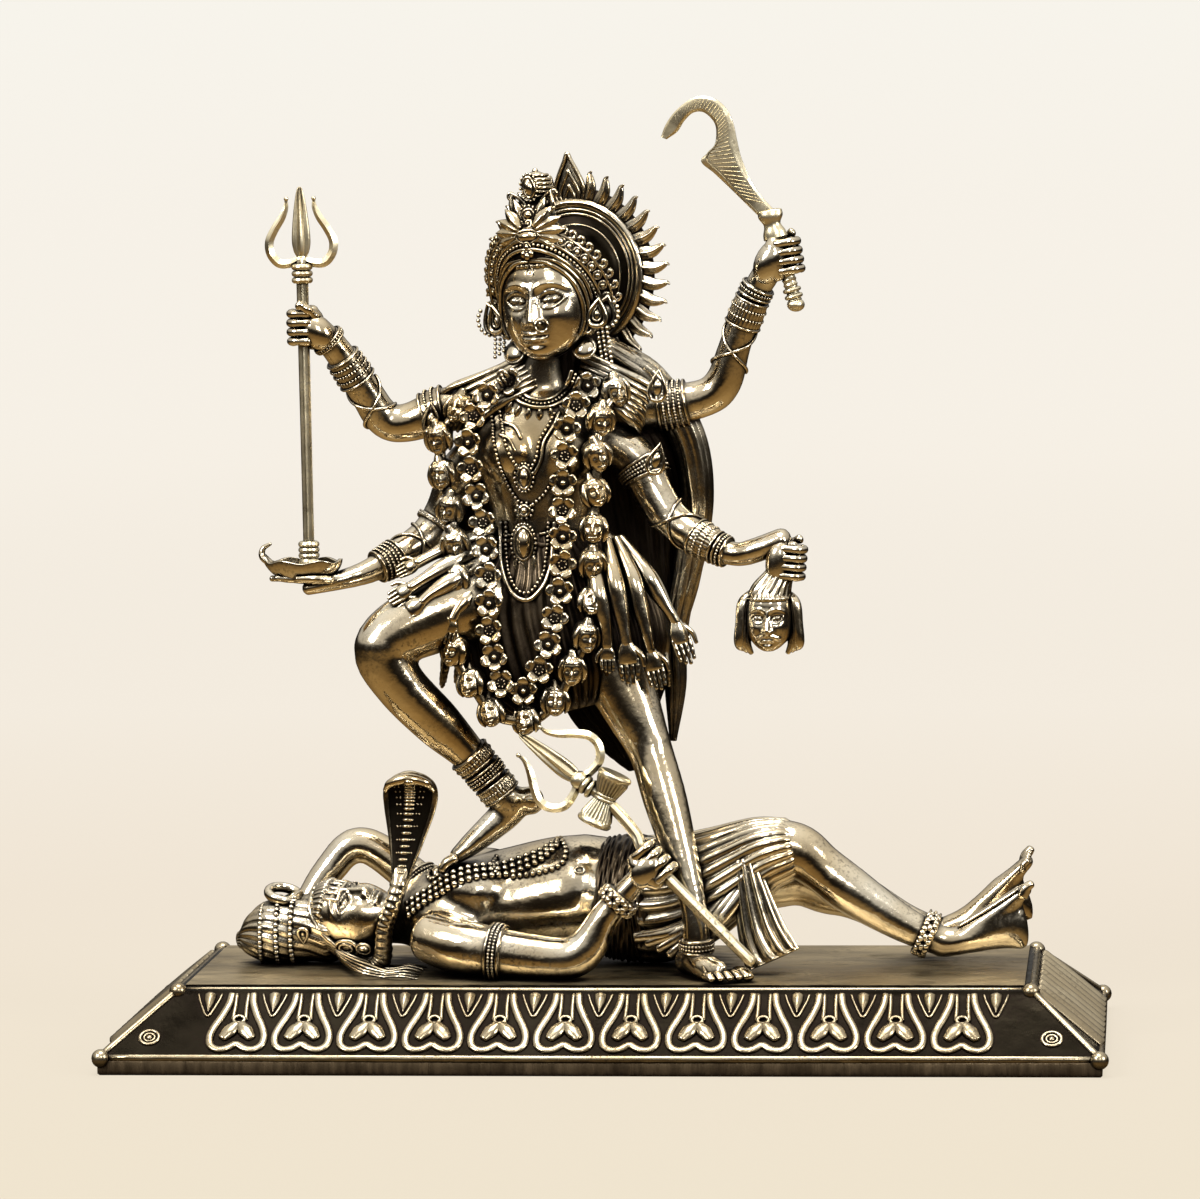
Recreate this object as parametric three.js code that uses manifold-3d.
// A cast brass group on a lotus plinth: a four-armed standing goddess with one foot on a lying figure.
// Millimetres, +Z up. The origin is the middle of the plinth's underside, and -Y is the front.
import * as THREE from "three";
import { mergeVertices } from "three/addons/utils/BufferGeometryUtils.js";
import Module from "manifold-3d";

const wasm = await Module();
wasm.setup();

// Driving dimensions of the plinth
const plinthTopLength = 179;
const plinthTopDepth = 56;
const plinthFlare = 15.4; // how far the foot stands out past the top on each side
const plinthSlope = 12.8; // height of the sloping sides
const plinthSlab = 3.4; // height of the upright foot
const plinthWall = 3.2; // the plinth is cast hollow and open below
const petalPitch = 13.75;
const petalRelief = 0.9;
const rimRadius = 0.8; // the bead along the plinth's edges
const cornerKnob = 1.6;

// Driving dimensions of the figures and of what they hold
const figureHeight = 185.4; // from the plinth's top to the top of the raised blade
const shaftRadius = 1.5; // the standing trident
const staffRadius = 1.25; // the small trident of the lying figure
const handleRadius = 1.5; // the sickle
const bladeThickness = 1.3;
const haloThickness = 1.4;
const bowlWall = 1.1;
const gap = 0.3; // between pieces that touch

// The figures are carved at this height, and every length in them is a share of it
const carvedHeight = 185.4;
const carvedScale = figureHeight / carvedHeight;
const fit = gap / carvedScale;
const plinthHeight = plinthSlab + plinthSlope;

const brass = { color: 0xc9a765, roughness: 0.28, metalness: 1 };
const paleBrass = { color: 0xdcc58f, roughness: 0.35, metalness: 1 };

// Solids from three.js geometry, and back
function solid(geometry) {
  const bare = geometry.index ? geometry.toNonIndexed() : geometry.clone();
  bare.deleteAttribute("normal");
  bare.deleteAttribute("uv");
  const merged = mergeVertices(bare, 1e-4);
  return new wasm.Manifold(
    new wasm.Mesh({
      numProp: 3,
      vertProperties: new Float32Array(merged.attributes.position.array),
      triVerts: new Uint32Array(merged.index.array),
    }),
  );
}

function meshOf(name, body, look) {
  const cut = body.getMesh();
  const geometry = new THREE.BufferGeometry();
  geometry.setAttribute("position", new THREE.BufferAttribute(new Float32Array(cut.vertProperties), 3));
  geometry.setIndex(new THREE.BufferAttribute(new Uint32Array(cut.triVerts), 1));
  const mesh = new THREE.Mesh(geometry, new THREE.MeshStandardMaterial(look));
  mesh.name = name;
  return mesh;
}

const join = (pieces) => pieces.reduce((all, piece) => all.add(piece));
const vec = (p) => new THREE.Vector3(p[0], p[1], p[2]);
const mix = (a, b, t) => a.map((value, i) => value + (b[i] - value) * t);

// A closed loft through stations of [x, y, z, half width, half depth], the depth measured near the Y axis.
// A flute draws every second corner in by that share, and a tip rounds the ends by a share of their size.
function loft(stations, { sides = 8, flute = 0, grow = 0, tip = 0.5 } = {}) {
  const rings = stations.map((s) => ({ at: vec(s), wide: s[3] + grow, deep: (s[4] ?? s[3]) + grow }));
  const last = rings.length - 1;
  const positions = [];
  const index = [];
  rings.forEach((ring, i) => {
    const from = rings[Math.max(i - 1, 0)].at;
    const to = rings[Math.min(i + 1, last)].at;
    ring.along = to.clone().sub(from).normalize();
    const reference = Math.abs(ring.along.y) > 0.9 ? new THREE.Vector3(0, 0, -1) : new THREE.Vector3(0, 1, 0);
    const side = new THREE.Vector3().crossVectors(ring.along, reference).normalize();
    const front = new THREE.Vector3().crossVectors(ring.along, side);
    for (let k = 0; k < sides; k++) {
      const turn = ((k + 0.5) / sides) * 2 * Math.PI;
      const draw = k % 2 ? 1 - flute : 1;
      const point = ring.at.clone();
      point.addScaledVector(side, Math.cos(turn) * ring.wide * draw);
      point.addScaledVector(front, Math.sin(turn) * ring.deep * draw);
      positions.push(point.x, point.y, point.z);
    }
  });
  for (const [ring, way] of [
    [rings[0], -1],
    [rings[last], 1],
  ]) {
    const reach = way * (tip * Math.min(ring.wide, ring.deep));
    const end = ring.at.clone().addScaledVector(ring.along, reach);
    positions.push(end.x, end.y, end.z);
  }
  const start = rings.length * sides;
  for (let k = 0; k < sides; k++) {
    const next = (k + 1) % sides;
    for (let i = 0; i < last; i++) {
      const [a, b] = [i * sides + k, i * sides + next];
      index.push(a, b, b + sides, a, b + sides, a + sides);
    }
    index.push(start, next, k, start + 1, last * sides + k, last * sides + next);
  }
  const geometry = new THREE.BufferGeometry();
  geometry.setAttribute("position", new THREE.Float32BufferAttribute(positions, 3));
  geometry.setIndex(index);
  return solid(geometry);
}

// Adds raised bands to a loft's stations; a band is [place counted in stations, width, lift]
function banded(stations, bands) {
  const full = stations.map((s) => [...s.slice(0, 4), s[4] ?? s[3]]);
  let line = full.map((s, i) => [i, s]);
  for (const [place, width, lift] of bands) {
    const i = Math.floor(place);
    const reach = width / 2 / vec(full[i]).distanceTo(vec(full[i + 1]));
    line = line.filter(([at]) => Math.abs(at - place) > reach);
    for (const way of [-1, 0, 1]) {
      const at = place + way * reach;
      const [x, y, z, wide, deep] = mix(full[i], full[i + 1], at - i);
      const raised = way ? 0 : lift;
      line.push([at, [x, y, z, wide + raised, deep + raised]]);
    }
  }
  return line.sort((a, b) => a[0] - b[0]).map((entry) => entry[1]);
}

// An ellipsoid with half sizes along X, Y and Z, turned about the Z axis
function ball(at, half, yaw = 0, around = 6, rows = 4) {
  const geometry = new THREE.SphereGeometry(1, around, rows).rotateX(Math.PI / 2).scale(...half);
  return solid(geometry.rotateZ(yaw).translate(...at));
}

function block(size, at) {
  return solid(new THREE.BoxGeometry(...size).translate(...at));
}

// A flat outline of [x, z] points, thick along Y and centred on Y = 0
function plate(outline, thickness) {
  const shape = new THREE.Shape(outline.map(([x, z]) => new THREE.Vector2(x, z)));
  const geometry = new THREE.ExtrudeGeometry(shape, { depth: thickness, bevelEnabled: false });
  return geometry.translate(0, 0, -thickness / 2).rotateX(Math.PI / 2);
}

// A string of beads along a curve through the points: half width and depth at a bead and between two
function beads(points, count, bead, waist) {
  const curve = new THREE.CatmullRomCurve3(points.map(vec));
  const stations = [];
  for (let i = 0; i <= 2 * count; i++) {
    const at = curve.getPointAt(i / (2 * count));
    stations.push([at.x, at.y, at.z, ...(i % 2 ? bead : waist)]);
  }
  return loft(stations, { sides: 4 });
}

// Plinth: a hollow frustum on an upright foot, its edges beaded, with a row of hanging petals on the front
// and the ends, and a plain back. The profile lists [height, how far out past the top].
function frustum(profile) {
  const signs = [
    [-1, -1],
    [1, -1],
    [1, 1],
    [-1, 1],
  ];
  const positions = profile.flatMap(([z, out]) =>
    signs.flatMap(([sx, sy]) => [sx * (plinthTopLength / 2 + out), sy * (plinthTopDepth / 2 + out), z]),
  );
  const top = 4 * (profile.length - 1);
  const index = [2, 1, 0, 3, 2, 0, top, top + 1, top + 2, top, top + 2, top + 3];
  for (let level = 0; level < top; level += 4) {
    for (let k = 0; k < 4; k++) {
      const [a, b] = [level + k, level + ((k + 1) % 4)];
      index.push(a, b, b + 4, a, b + 4, a + 4);
    }
  }
  const geometry = new THREE.BufferGeometry();
  geometry.setAttribute("position", new THREE.Float32BufferAttribute(positions, 3));
  geometry.setIndex(index);
  return solid(geometry);
}

const slopeOut = (z) => (plinthFlare * (plinthHeight - z)) / plinthSlope;

// A petal hangs from a narrow stem and swells to two lobes. Across is a share of the pitch, and up is a
// share of the slope.
const petalShape = [
  [-0.15, 1],
  [-0.43, 0.4],
  [-0.26, 0],
  [0, 0.12],
  [0.26, 0],
  [0.43, 0.4],
  [0.15, 1],
];

function petalRow(length, drop) {
  const count = Math.floor((length - 2 * cornerKnob) / petalPitch);
  const row = [];
  for (let i = 0; i < count; i++) {
    const middle = (i - (count - 1) / 2) * petalPitch;
    const outline = petalShape.map(([across, up]) => [middle + across * petalPitch, (up - 0.5) * drop]);
    row.push(plate(outline, 2 * petalRelief));
  }
  return row;
}

function plinth() {
  const rim = rimRadius;
  const outer = [
    [0, plinthFlare - 0.5 * rim],
    [plinthSlab - rim, plinthFlare - 0.5 * rim],
    [plinthSlab - 0.6 * rim, plinthFlare],
    [plinthSlab + 0.4 * rim, plinthFlare],
    [plinthSlab + rim, slopeOut(plinthSlab + rim)],
    [plinthHeight - 2 * rim, slopeOut(plinthHeight - 2 * rim)],
    [plinthHeight - 1.6 * rim, slopeOut(plinthHeight - 2.6 * rim)],
    [plinthHeight - 0.6 * rim, slopeOut(plinthHeight - 1.4 * rim)],
    [plinthHeight, 0],
  ];
  const inner = [
    [-1, plinthFlare - plinthWall],
    [plinthSlab, plinthFlare - plinthWall],
    [plinthHeight - plinthWall, -plinthWall],
  ];
  let body = frustum(outer).subtract(frustum(inner));
  for (const sx of [-1, 1]) {
    for (const sy of [-1, 1]) {
      for (const [z, out] of [outer[3], outer[7]]) {
        const at = [sx * (plinthTopLength / 2 + out - 0.6), sy * (plinthTopDepth / 2 + out - 0.6), z];
        body = body.add(ball(at, [cornerKnob, cornerKnob, cornerKnob], 0, 5, 3));
      }
    }
  }
  const [low, high] = [plinthSlab + 1.2 * rim, plinthHeight - 2.2 * rim];
  const lean = Math.atan2(plinthFlare, plinthSlope);
  const middle = (low + high) / 2;
  for (const quarter of [0, 1, 3]) {
    const sizes = [plinthTopLength, plinthTopDepth];
    const [length, across] = quarter % 2 ? sizes.reverse() : sizes;
    for (const petal of petalRow(length, (high - low) / Math.cos(lean))) {
      petal.rotateX(-lean).translate(0, -across / 2 - slopeOut(middle), middle);
      body = body.add(solid(petal.rotateZ((quarter * Math.PI) / 2)));
    }
  }
  return body;
}

// Shared by the figures. Below, z counts from the plinth's top.
// A head in a unit box, brow forward along -Y: [height, half width, half depth, forward]
const headProfile = [
  [0.98, 0.3, 0.34, 0],
  [0.72, 0.74, 0.8, 0],
  [0.25, 0.96, 1, 0],
  [-0.12, 0.96, 0.98, 0.02],
  [-0.5, 0.82, 0.82, 0.1],
  [-0.82, 0.52, 0.56, 0.26],
  [-0.98, 0.22, 0.28, 0.38],
];

function head(half, sides = 8) {
  const skull = headProfile.map(([up, wide, deep, forward]) => {
    return [0, -forward * half[1], up * half[2], wide * half[0], deep * half[1]];
  });
  const nose = [
    [0, -0.94 * half[1], 0.12 * half[2], 0.09 * half[0]],
    [0, -1.1 * half[1], -0.22 * half[2], 0.17 * half[0]],
  ];
  return loft(skull, { sides, tip: 0.2 }).add(loft(nose, { sides: 3, tip: 0.2 }));
}

// A closed hand round a rod: four fingers as ribs of a sleeve and a thumb, the rod's own hole cut later
function fist(at, axis, out, radius) {
  const finger = 1.9;
  const reach = radius + 2.2;
  const profile = [[0, -2.2 * finger]];
  for (let i = -2; i < 2; i++) profile.push([reach - 0.8, i * finger], [reach, (i + 0.5) * finger]);
  profile.push([reach - 0.8, 2 * finger], [0, 2.2 * finger]);
  const sleeve = new THREE.LatheGeometry(
    profile.map(([r, y]) => new THREE.Vector2(r, y)),
    5,
  );
  const up = vec(axis).normalize();
  const ahead = vec(out).normalize();
  const across = new THREE.Vector3().crossVectors(up, ahead);
  const spot = (u, a, c) => {
    return vec(at).addScaledVector(up, u).addScaledVector(ahead, a).addScaledVector(across, c).toArray();
  };
  const thumb = [
    [...spot(1, -reach, 0.5 * reach), 1.3],
    [...spot(5, 0.1 * reach, 0.8 * reach), 0.9],
  ];
  const turn = new THREE.Quaternion().setFromUnitVectors(new THREE.Vector3(0, 1, 0), up);
  return [solid(sleeve.applyQuaternion(turn).translate(...at)), loft(thumb, { sides: 4 })];
}

// Prongs leave a collar sideways, swing out, come back in and end in fine tips.
// A station is [along, aside, thickness] in shares of the length, the spread and the thickness.
const prongRoute = [
  [0.04, 0.05, 0.9],
  [-0.06, 0.5, 0.9],
  [0.1, 0.98, 1],
  [0.28, 0.98, 1],
  [0.58, 0.6, 0.8],
  [0.82, 0.42, 0.4],
];

function tridentHead(collar, tip, spread, thick) {
  const up = vec(tip).sub(vec(collar));
  const length = up.length();
  up.normalize();
  const side = new THREE.Vector3(up.z, 0, -up.x).normalize();
  const spot = (a, s) => {
    return vec(collar).addScaledVector(up, a * length).addScaledVector(side, s * spread).toArray();
  };
  const blade = [
    [...spot(-0.02, 0), thick],
    [...spot(0.27, 0), 2.4 * thick, 1.2 * thick],
    [...spot(0.96, 0), 0.6 * thick],
  ];
  const prongs = [-1, 1].map((way) => {
    return loft(
      prongRoute.map(([a, s, r]) => [...spot(a, way * s), thick * r]),
      { sides: 4 },
    );
  });
  return [loft(blade, { sides: 4 }), ...prongs];
}

// Standing trident: its foot is in the bowl
const tridentFoot = [-63.5, -5, 86.6];
const tridentCollar = [-63.8, -5, 152];
const tridentTip = [-64, -5, 167.3];

const tridentLine = [tridentFoot, tridentCollar].map((end) => [...end, shaftRadius]);
const tridentShaft = (grow = 0) => loft(tridentLine, { sides: 6, grow, tip: 0.3 });

function standingTrident() {
  const length = tridentCollar[2] - tridentFoot[2];
  const collars = [3, 6, length - 2, length - 5].map((up) => [up / length, 2.4, 1.2]);
  const shaft = loft(banded(tridentLine, collars), { sides: 6, tip: 0.3 });
  return join([shaft, ...tridentHead(tridentCollar, tridentTip, 7.2, 1.1)]);
}

// Sickle: a hooked blade in one plane on a round handle
const sickleEnd = [40.5, 0, 142];
const sickleGuard = [36, 0, 158];

function sickleHandle(grow = 0) {
  const line = [sickleEnd, sickleGuard].map((end) => [...end, handleRadius]);
  return loft(line, { sides: 6, grow, tip: 0.3 });
}

function sickle() {
  const back = [
    [37.2, 160.2],
    [31.5, 167.4],
    [28.7, 175.6],
    [27.4, 181],
    [24.4, 184.5],
    [21.3, 185.4],
    [18, 184.2],
    [14.8, 181],
    [12.6, 176.6],
  ];
  const edge = [
    [15, 176.5],
    [17.6, 180.2],
    [20.6, 182],
    [23.6, 180.4],
    [24.3, 177],
    [23, 173.2],
    [20.8, 171.8],
    [33.8, 158.9],
  ];
  return join([
    sickleHandle(),
    solid(plate([...back, ...edge], bladeThickness)),
    ball(sickleGuard, [2.2, 1.8, 2.4]),
    ball(sickleEnd, [2, 2, 2], 0, 6, 3),
  ]);
}

// Halo: a plate behind the head with a ring and a fringe of flames, turned with the head
const headYaw = -0.27;
const headRoll = -0.06;
const headAt = [-11.8, -1, 142.4];
const haloYaw = -0.38;
const haloAt = [-7, 11.2, 147.5];
const haloRing = 15.4;
const haloReach = 21.8;
const haloPeak = 24.8;
const flameCount = 32;

// The flames lean away from the leaf at the top
function haloOutline() {
  const outline = [];
  const half = Math.PI / flameCount;
  const point = (turn, reach) => outline.push([Math.cos(turn) * reach, Math.sin(turn) * reach]);
  for (let i = 0; i < flameCount; i++) {
    const middle = Math.PI / 2 + 2 * half * i;
    const fromTop = Math.min(i, flameCount - i);
    const sweep = i < flameCount / 2 ? 0.5 : -0.5;
    if (fromTop > 1) {
      point(middle - half, haloRing + 1.3);
      point(middle + half * sweep, haloReach);
    } else {
      point(middle, fromTop ? haloRing + 3.2 : haloPeak);
    }
  }
  return outline;
}

function haloDisc(radius, thickness) {
  const disc = new THREE.CylinderGeometry(radius, radius, thickness, 16);
  return solid(disc.rotateZ(haloYaw).translate(...haloAt));
}

function halo() {
  const place = (geometry) => solid(geometry.rotateY(headRoll).rotateZ(haloYaw).translate(...haloAt));
  const ring = new THREE.TorusGeometry(haloRing, haloThickness * 0.8, 4, 16).rotateX(Math.PI / 2);
  return place(plate(haloOutline(), haloThickness)).add(place(ring.translate(0, -haloThickness / 2, 0)));
}

// Lying figure: the body rests on the plinth, the chest takes the goddess's foot
const lyingTrunkLine = [
  [-47, 3, 9, 5, 6],
  [-41, 3, 10.5, 8.6, 12],
  [-33, 3, 12, 10.2, 15.5],
  [-22, 3.5, 13.4, 11.6, 14.5],
  [-10, 4, 14.6, 12.9, 12.8],
  [0, 4, 14.6, 12, 12],
  [10, 3, 13, 8, 8],
];
const lyingTrunk = (grow = 0) => loft(lyingTrunkLine, { sides: 8, grow });
const staffLow = [31.1, -23.4, 4.5];
const staffGrip = [10.7, -20.4, 24.9];
const staffDrum = [0.1, -16.4, 38];
const staffCollar = [-5.3, -15, 41.8];
const staffTip = [-18, -14, 51.6];

function staffShaft(grow = 0) {
  const bend = mix(staffGrip, staffDrum, 0.5);
  bend[0] += 1;
  const line = [staffLow, staffGrip, bend, staffDrum, staffCollar];
  return loft(
    line.map((p) => [...p, staffRadius]),
    { sides: 6, grow, tip: 0.3 },
  );
}

// The small trident carries an hourglass drum across its shaft
function tridentWithDrum() {
  const drum = [-5, 0, 5].map((up) => {
    return [staffDrum[0] + up * 0.42, staffDrum[1], staffDrum[2] + up * 0.9, up ? 3.5 : 2];
  });
  const collar = ball(staffCollar, [2, 1.9, 2]);
  return join([staffShaft(), loft(drum, { tip: 0 }), collar, ...tridentHead(staffCollar, staffTip, 8.6, 1)]);
}

function lyingLegs() {
  const near = [
    [20, -3.6, 20, 7, 7],
    [28, -4.6, 24, 7, 7],
    [38.6, -5, 25.6, 6.2, 5.8],
    [45, -5, 21.6, 5.2, 5.2],
    [51, -5.5, 17, 5.2, 5.2],
    [61.6, -6, 10.2, 4, 4],
    [70.5, -6, 6, 3.3, 3.2],
  ];
  const far = near.map(([x, y, z, ...half], i) => [x, y + 16 - i * 0.2, z * (i < 4 ? 0.68 : 0.8), ...half]);
  const foot = (y, z) => [
    [69, y, z + 1, 3, 3],
    [78, y, z + 3.2, 3.4, 4.4],
    [83.6, y, z + 5.4, 3.2, 6],
    [87.4, y, z + 6.2, 2.8, 7],
  ];
  const toe = (y, z) => [
    [83, y, z + 6, 2.8, 2.8],
    [89.6, y, z + 15, 1.8, 1.4],
  ];
  const anklet = [[5.5, 3, 0.8]];
  return [
    loft(banded(near, anklet), { sides: 6 }),
    loft(far, { sides: 5 }),
    loft(foot(-6, 4), { sides: 5 }),
    loft(toe(-6, 4), { sides: 4 }),
    loft(foot(9, 4.6), { sides: 4 }),
    loft(toe(9, 7), { sides: 3 }),
  ];
}

// The cloth gathers at the hip, runs over the thigh in folds and drops to the plinth in a fan
function lyingCloth() {
  const wrap = [
    [3, 3, 14, 13.8, 13.6],
    [12, 1.4, 14, 13.6, 14.6],
    [22, -1.4, 18.8, 11.6, 13],
    [32, -4, 24, 8.6, 9],
  ];
  const fan = [
    [27, -9, 20, 2, 3],
    [31, -11.4, 10, 4.4, 2.6],
    [34, -12.6, 1.2, 7, 2.8],
  ];
  return [loft(wrap, { sides: 10, flute: 0.12 }), loft(fan, { sides: 8, flute: 0.24, tip: 0 })];
}

function lyingArms() {
  const near = [
    [-38, -13.4, 8, 5.6, 5.4],
    [-30, -17, 6.4, 6, 5.6],
    [-18, -19.4, 5.2, 5, 4.8],
    [-8, -20.4, 4.6, 4.6, 4.4],
    [-3.4, -20.6, 7.4, 4.2, 4],
    [0.6, -20.4, 14, 3.2, 3.4],
    [8.8, -20.4, 23.2, 2.4, 2.8],
  ];
  const far = [
    [-39, 12, 10, 5],
    [-46, 17, 17, 4.4],
    [-57, 18, 23.8, 3.9],
    [-64, 16.6, 18, 3.5],
    [-68.6, 13.6, 10.6, 3],
    [-69, 8.6, 7, 2.8],
  ];
  const bands = [
    [1.6, 2.4, 0.8],
    [5.5, 3, 0.8],
  ];
  return [
    loft(banded(near, bands), { sides: 6 }),
    loft(far, { sides: 5 }),
    ...fist(staffGrip, [-0.7, 0.1, 0.7], [0.7, 0, 0.7], staffRadius),
  ];
}

// The head lies back on the bun, its face turned up and to the front
function lyingHead() {
  const laid = head([7.6, 8.6, 10.4]).rotate([0, -76, 0]).rotate([-56, 0, 0]).translate([-57.6, 2, 9.4]);
  const bun = [
    [-64, 2.6, 8, 7, 7],
    [-72, 3, 7, 6.6, 6.6],
    [-78, 3, 5.6, 5, 5],
    [-81.6, 3, 5, 2.4, 2.4],
  ];
  const coil = [[0.9, 5, 1.2]];
  const knot = new THREE.TorusGeometry(3.4, 1.1, 4, 6).translate(-71.4, 3, 13.6);
  const spread = [
    [-56, -3, 3, 4, 7],
    [-48, -9, 1.6, 3, 7],
    [-41, -12.6, 1, 2.6, 5],
  ];
  const neck = [
    [-54, 2.6, 8.6, 4.6],
    [-44, 3, 9, 5],
  ];
  return [
    laid,
    loft(banded(bun, coil), { sides: 6 }),
    solid(knot),
    loft(spread, { sides: 6, flute: 0.14, tip: 0.2 }),
    loft(neck, { sides: 5 }),
  ];
}

function cobra() {
  const hood = [
    [-49, -7, 1, 2],
    [-48.4, -7.6, 9, 1.9],
    [-46.6, -7.6, 14, 1.9],
    [-45, -6, 20, 1.9, 1.6],
    [-44, -4, 27, 3.6, 1.5],
    [-43.2, -3, 34, 5.8, 1.4],
    [-42.9, -3.4, 39, 5.6, 1.7],
    [-42.9, -5.4, 41, 2.4, 2],
  ];
  return [loft(hood, { sides: 5 }), ball([-42.9, -7, 40], [1.9, 2.8, 1.3], 0, 5, 3)];
}

const belowPlinthTop = block([400, 200, 60], [0, 0, -30]);

function lyingFigure() {
  const forms = [lyingTrunk(), ...lyingLegs(), ...lyingCloth(), ...lyingArms(), ...lyingHead(), ...cobra()];
  return join(forms).subtract(staffShaft(fit)).subtract(standingLeg(fit)).subtract(belowPlinthTop);
}

// Goddess: legs
const standingLegLine = [
  [-3.4, -0.6, 74, 7, 7],
  [0.6, -2.6, 66, 8, 7.8],
  [5.6, -5.6, 55, 6.2, 6.2],
  [9.2, -7.4, 47, 4.8, 5],
  [12.4, -10.4, 37, 4.7, 5],
  [16, -14, 25, 3.7, 4],
  [18.6, -16.6, 15, 2.8, 3],
  [19.2, -17, 8, 2.9, 3.1],
  [19, -16.4, 3, 3, 3.4],
];
const standingLeg = (grow = 0) => loft(standingLegLine, { sides: 6, grow });

function legs() {
  const bent = [
    [-20, -1, 79, 7, 7],
    [-28, -4.4, 78.6, 8.8, 8.4],
    [-39, -9.6, 75.2, 7.8, 7.4],
    [-47, -12.6, 69.8, 6.2, 6.2],
    [-43.6, -11.6, 62, 5.6, 5.8],
    [-36, -8.6, 53.2, 5.2, 5.4],
    [-29, -6, 45.4, 3.8, 4],
    [-21.6, -4.2, 35.6, 3.4, 3.6],
  ];
  const raisedFoot = [
    [-18.6, -3.6, 36.4, 2.6, 2.8],
    [-22.6, -4, 33, 3.6, 3.2],
    [-29.6, -5, 27, 2.6, 4],
    [-33.8, -6, 23.6, 1.3, 3.6],
  ];
  const standingFoot = [
    [19, -15, 2.4, 2.9, 2.6],
    [20.4, -18.6, 3, 3, 3],
    [23.8, -23, 1.6, 3.4, 1.8],
    [25.6, -25.6, 1, 2.6, 1.2],
  ];
  const anklets = [
    [5.75, 2.2, 1],
    [6.4, 4, 1.4],
  ];
  return [
    loft(banded(bent, anklets), { sides: 6 }),
    loft(banded(standingLegLine, [[7.4, 2.4, 0.8]]), { sides: 6 }),
    loft(raisedFoot, { sides: 6 }),
    loft(standingFoot, { sides: 6 }),
  ];
}

// Goddess: trunk and hair
function trunk() {
  const torso = [
    [-14, 2, 80, 7, 5],
    [-14.3, 2, 90, 10.2, 7.8],
    [-14.2, 1.6, 98, 11, 8],
    [-14.1, 0, 109, 14.6, 10],
    [-14, 2, 116, 15.6, 7.6],
    [-14, 3, 121.6, 13, 6.2],
    [-14, 3, 124.4, 6, 5],
    [-13.6, 2, 133, 4, 4],
  ];
  return loft(torso, { sides: 9 });
}

function hair() {
  const fall = [
    [-11, 4.6, 142, 7.6, 4],
    [-10.8, 4.6, 127, 10, 3.8],
    [-8, 8.4, 112, 19, 5],
    [-4, 11, 92, 17.4, 5],
    [-1.6, 10.6, 72, 14, 4.6],
    [0, 8, 58, 11.4, 3.8],
    [1.4, 6.4, 51, 8, 3],
  ];
  const lock = [
    [0, 3.6, 132, 2.2],
    [9, 6.6, 125, 3.4],
    [16.4, 9, 113, 3.6],
    [18.4, 9.6, 99, 3.2],
    [14, 10, 82, 2.4],
  ];
  return [loft(fall, { sides: 8, flute: 0.14 }), loft(lock, { sides: 5 })];
}

// Goddess: head with tiara and ear ornaments, made upright at the origin and then placed
function crownedHead() {
  const arch = [];
  const points = 12;
  for (let i = 0; i <= points; i++) {
    const turn = (-0.12 + (1.24 * i) / points) * Math.PI;
    const reach = i % 2 ? 12.4 : 14;
    arch.push([Math.cos(turn) * reach, Math.sin(turn) * (reach + 2) + 1.6]);
  }
  for (let i = 0; i <= 5; i++) {
    const turn = (1.1 - (1.2 * i) / 5) * Math.PI;
    arch.push([Math.cos(turn) * 8.6, Math.sin(turn) * 10 + 0.4]);
  }
  const knot = [
    [0, -1.4, 9, 8, 7],
    [0, -3, 16, 5.4, 4.4],
    [0, -4.4, 20, 3, 2.4],
    [0, -4.4, 24.4, 3.4, 2.2],
    [0, -4.4, 27, 1.2, 1],
  ];
  const sides = [-1, 1].flatMap((way) => [
    ball([way * 10.8, -2, -3.8], [2.4, 2, 4], 0, 5, 4),
    ball([way * 9.8, -2.6, -9.2], [2.8, 1.2, 3], 0, 6, 3),
    loft(
      [
        [way * 1, -5, 16, 2],
        [way * 5.4, -5, 18.4, 1.8],
        [way * 7.6, -4.6, 21.4, 0.7],
      ],
      { sides: 4 },
    ),
  ]);
  const pieces = [
    head([9.2, 9.6, 12.2], 8),
    solid(plate(arch, 3.4).translate(0, -2.4, 0)),
    loft(knot, { sides: 6 }),
    ball([0, -5.4, 14.4], [3.2, 2, 2.6]),
    ...sides,
  ];
  return join(pieces)
    .rotate([0, THREE.MathUtils.radToDeg(headRoll), THREE.MathUtils.radToDeg(headYaw)])
    .translate(headAt);
}

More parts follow.
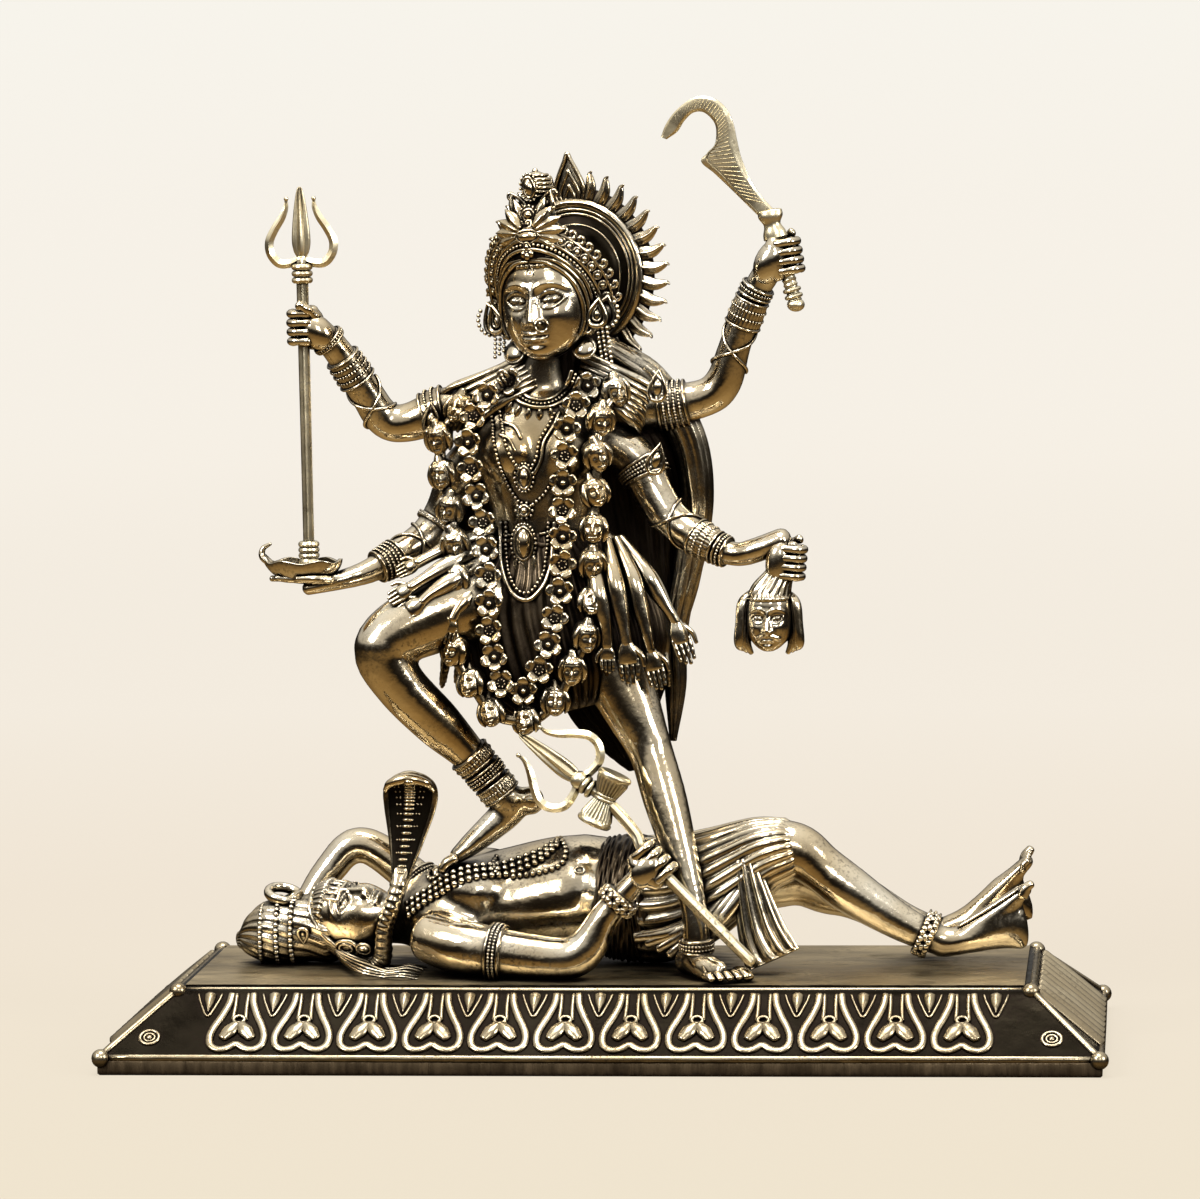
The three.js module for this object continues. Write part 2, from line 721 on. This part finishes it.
// Goddess: arms. The upper pair hold the trident and the sickle, the lower pair the bowl and the head
function arms() {
  const upperRight = [
    [-24, 4, 119.4, 4.6, 4.2],
    [-34, 4, 119.4, 4.9, 4.8],
    [-43, 4.4, 116.6, 4.2, 4.4],
    [-48, 4, 117.4, 4, 4.2],
    [-52, 1.6, 124, 3.6, 3.8],
    [-57.3, -2, 132.8, 2.7, 2.8],
    [-61.6, -4.2, 138, 2.4, 3],
  ];
  const lowerRight = [
    [-23, 2.4, 113, 4, 4],
    [-31, 4.4, 107, 4.7, 4.6],
    [-36, 7.6, 97, 4.2, 4.2],
    [-39.6, 6, 92, 4, 4],
    [-45, 1, 88.4, 3.5, 3.6],
    [-51.4, -3.6, 85.2, 2.6, 2.8],
    [-58, -5.4, 83.4, 2, 3.4],
    [-66, -6, 82, 1.5, 3.4],
    [-72, -6, 84, 0.9, 2.4],
  ];
  const upperLeft = [
    [-4, 4.6, 119, 4.4, 4.2],
    [9, 6, 119.4, 4.7, 4.8],
    [20, 6, 121, 4.1, 4.4],
    [24.6, 5.6, 124.4, 4, 4.2],
    [27.6, 4.4, 133, 3.4, 3.8],
    [32.2, 2.2, 144, 2.6, 2.8],
    [36.8, 0.4, 151, 2.4, 3],
  ];
  const lowerLeft = [
    [-4, 2.6, 114, 4, 4],
    [5.6, 2.4, 109, 4.8, 4.8],
    [10, 0.8, 101, 4.3, 4.3],
    [13.6, -0.6, 96, 4, 4.1],
    [19.6, -3.4, 92, 3.5, 3.7],
    [27.1, -6.2, 88.8, 2.6, 2.7],
    [32, -7.6, 89.6, 2.4, 3.2],
    [38, -8.2, 92, 2.2, 3.4],
    [42, -8.6, 91, 1.8, 3.2],
    [42.4, -9, 88, 1.4, 2.8],
  ];
  const cuff = [4.6, 5, 1.2];
  const armlet = [1.5, 3.4, 1.2];
  return [
    loft(banded(upperRight, [cuff]), { sides: 6 }),
    loft(banded(lowerRight, [cuff]), { sides: 6 }),
    loft(banded(upperLeft, [armlet, cuff]), { sides: 6 }),
    loft(banded(lowerLeft, [armlet, cuff]), { sides: 6 }),
    ...fist([-63.9, -5, 138.4], [0, 0, 1], [-0.96, -0.3, 0], shaftRadius),
    ...fist([38.8, 0, 151.6], [-0.15, 0, 0.98], [0.98, -0.2, 0.15], handleRadius),
  ];
}

// Bowl: half an ellipsoid in the palm, hollow above, with a lip drawn out to one side
const bowlAt = [-64.4, -6, 88];
const bowlHalf = [8.2, 5.8, 5];

function bowl() {
  const shell = (inset) => {
    const half = bowlHalf.map((value) => value - inset);
    return ball(bowlAt, half, 0, 10, 6);
  };
  const above = block([60, 60, 30], [bowlAt[0], bowlAt[1], bowlAt[2] + 15]);
  const lip = [
    [bowlAt[0] - 6.6, bowlAt[1], bowlAt[2] - 1.4, 1, 2.4],
    [bowlAt[0] - 8.4, bowlAt[1], bowlAt[2] + 0.6, 0.8, 1.6],
    [bowlAt[0] - 8, bowlAt[1], bowlAt[2] + 2.8, 0.5, 0.7],
  ];
  return shell(0)
    .subtract(above)
    .add(loft(lip, { sides: 5 }))
    .subtract(shell(bowlWall));
}

function heldHead() {
  const at = [34.9, -9, 75.4];
  const tied = [
    [38, -8.8, 90, 2.6, 2.2],
    [35.8, -9, 84, 3.4, 3],
    [34.9, -8.6, 79, 5, 4.6],
    [34.9, -7.4, 73, 5, 3.6],
  ];
  const locks = [-1, 1].map((way) => {
    const fall = [
      [at[0] + way * 4.4, at[1] + 0.6, at[2] + 2, 1.2, 2],
      [at[0] + way * 5.6, at[1] + 0.6, at[2] - 3.6, 1.4, 2],
      [at[0] + way * 4.6, at[1] + 0.4, at[2] - 6.8, 0.9, 1.4],
    ];
    return loft(fall, { sides: 4 });
  });
  return [head([4.6, 4.8, 6.9], 6).translate(at), loft(tied, { sides: 8, flute: 0.14 }), ...locks];
}

// Garlands of small heads and of flowers, and the collar, hang from the shoulders over the front
function garlands() {
  const smallHeads = [
    [-29, -2, 119],
    [-36, -3.4, 111],
    [-34.6, -5, 100],
    [-32.4, -8, 88],
    [-33, -11.4, 76],
    [-28.6, -12, 63],
    [-20, -11, 54],
    [-12.6, -11, 54],
    [-7.4, -11.6, 61],
    [-3.2, -12, 72],
    [-1.6, -10, 86],
    [-1.6, -8, 99],
    [-0.6, -6.4, 111],
    [1.4, -3, 121],
  ];
  const flowers = [
    [-24, -3, 121],
    [-28.4, -7, 113],
    [-28.8, -8.8, 102],
    [-26.6, -10.4, 90],
    [-25, -13, 76],
    [-23.4, -13.8, 66],
    [-19.4, -13, 59],
    [-14.4, -13.2, 60],
    [-11.4, -13.8, 66.6],
    [-9.4, -13, 79],
    [-9, -11, 93],
    [-8.8, -10.2, 105],
    [-7, -8, 114],
    [-4.4, -3.4, 121],
  ];
  const collar = [
    [-22, -2, 123],
    [-20, -6.4, 118],
    [-14, -9.4, 114.4],
    [-8, -6.4, 118],
    [-6, -2, 123],
  ];
  return [
    beads(smallHeads, 17, [3.3, 3.2], [1.9, 1.8]),
    beads(flowers, 17, [3.6, 2.2], [2.1, 1.4]),
    beads(collar, 4, [3, 2], [2, 1.4]),
  ];
}

// Skirt: a cloth fluted by the arms that hang from the waist, with the longest of them standing clear
function skirt() {
  const cloth = [
    [-13.8, 1.4, 92, 10.8, 8.4],
    [-12.4, 0.2, 77, 23, 12.8],
    [-9.4, -0.4, 65, 23.4, 13],
    [-8, 0, 58, 17, 11],
  ];
  const hanging = [
    [-34, -10, 10],
    [-41.6, -9, 18],
    [-2, -13, 1],
    [5.4, -12.4, 0],
    [11, -10, 4],
    [15.6, -6, 9],
  ];
  const loose = hanging.map(([x, y, rise]) => {
    const hip = [-13.8, 1.4, 90];
    const hand = [x, y, 60 + rise];
    const bow = mix(hip, hand, 0.5);
    return loft(
      [
        [...mix(hip, hand, 0.3), 1.6],
        [bow[0] * 1.12 + 1.6, bow[1] * 1.2, bow[2] + 3, 2.2],
        [...hand, 2.2, 1.6],
        [hand[0] * 1.04, hand[1], hand[2] - 4.4, 1, 0.8],
      ],
      { sides: 4 },
    );
  });
  return [loft(cloth, { sides: 16, flute: 0.13, tip: 0 }), ...loose];
}

function goddess() {
  const forms = [trunk(), ...hair(), ...legs(), ...arms(), ...skirt(), ...garlands(), ...heldHead()];
  return join([...forms, crownedHead(), bowl()])
    .subtract(tridentShaft(fit))
    .subtract(sickleHandle(fit))
    .subtract(haloDisc(haloReach + 1, 2 * (1.3 * haloThickness + fit)))
    .subtract(lyingTrunk(fit))
    .subtract(belowPlinthTop);
}

const figures = new THREE.Group();
figures.position.z = plinthHeight + gap;
figures.scale.setScalar(carvedScale);
figures.add(
  meshOf("lying_figure", lyingFigure(), brass),
  meshOf("standing_goddess", goddess(), brass),
  meshOf("flame_halo", halo(), brass),
  meshOf("standing_trident", standingTrident(), paleBrass),
  meshOf("sickle_sword", sickle(), paleBrass),
  meshOf("trident_with_drum", tridentWithDrum(), paleBrass),
);

const statue = new THREE.Group();
statue.add(meshOf("lotus_plinth", plinth(), brass), figures);

export default statue;
